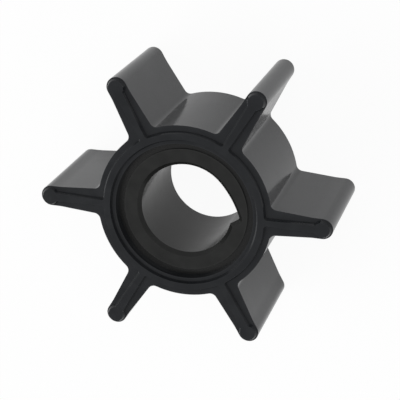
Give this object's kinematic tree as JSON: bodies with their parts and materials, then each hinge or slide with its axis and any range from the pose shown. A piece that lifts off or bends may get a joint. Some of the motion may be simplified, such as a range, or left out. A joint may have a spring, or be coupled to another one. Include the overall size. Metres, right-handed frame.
{
  "type": "rubber pump impeller",
  "caption": "Flexible-vane rubber pump impeller: vaned rubber hub with raised sealing lines on both end faces, bonded to a hard bush with a round shaft bore and a drive notch.",
  "frame": {"origin": "on the bore axis, at the level of the raised sealing line of the lower end face, which is what the impeller rests on", "axes": "+Z along the bore, +X along the first vane, which is the vane nearest to the deepest part of the drive notch; the ramp of the notch leaves the bore on the +Y side of +X"},
  "size_m": [0.04, 0.035, 0.0169],
  "materials": {
    "rubber": "black moulded nitrile rubber, satin, with a fine moulded grain",
    "bush_plastic": "black moulded engineering plastic, satin"
  },
  "bodies": {
    "root": {"rubber_rotor": "rubber", "hub_bush": "bush_plastic"}
  },
  "joints": []
}
